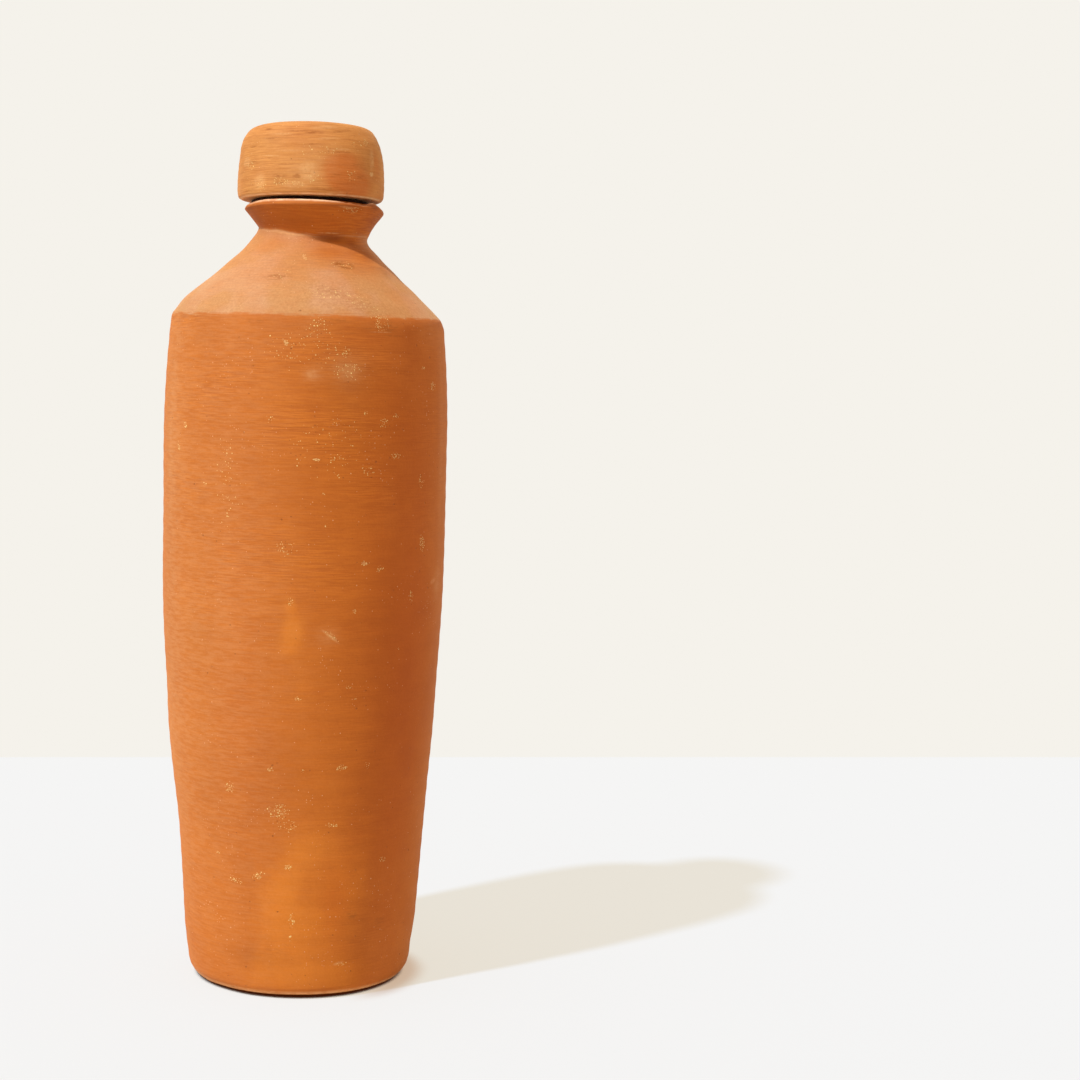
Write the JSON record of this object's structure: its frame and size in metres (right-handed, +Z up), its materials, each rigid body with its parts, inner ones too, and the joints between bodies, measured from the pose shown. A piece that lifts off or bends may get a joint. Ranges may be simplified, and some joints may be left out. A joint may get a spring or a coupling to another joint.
{
  "type": "clay water bottle",
  "caption": "Tall hand-thrown unglazed clay water bottle with a sloping shoulder, a flared collar and a lift-off clay cap on a rubber washer.",
  "frame": {"origin": "centre of the flat base, on the surface that the bottle stands on", "axes": "+Z up; -Y is the side that faces the camera, +X is to its right. The neck leans 1.6 degrees to +X and 2 degrees to +Y"},
  "size_m": [0.1005, 0.1002, 0.2992],
  "materials": {
    "body_clay": "matt, unglazed",
    "cap_clay": "matt, unglazed",
    "rubber": "matt"
  },
  "bodies": {
    "bottle": {"bottle": "body_clay"},
    "washer": {"seal_washer": "rubber"},
    "cap": {"cap": "cap_clay"}
  },
  "joints": [
    {"name": "cap_lift", "type": "slide", "parent": "bottle", "child": "washer", "axis": [0.0279, 0.0349, 0.999], "range_m": [0, 0.06]},
    {"name": "cap_turn", "type": "hinge", "parent": "washer", "child": "cap", "pos_m": [0.00333, 0.00099, 0.27145], "axis": [0.0279, 0.0349, 0.999], "continuous": true}
  ]
}
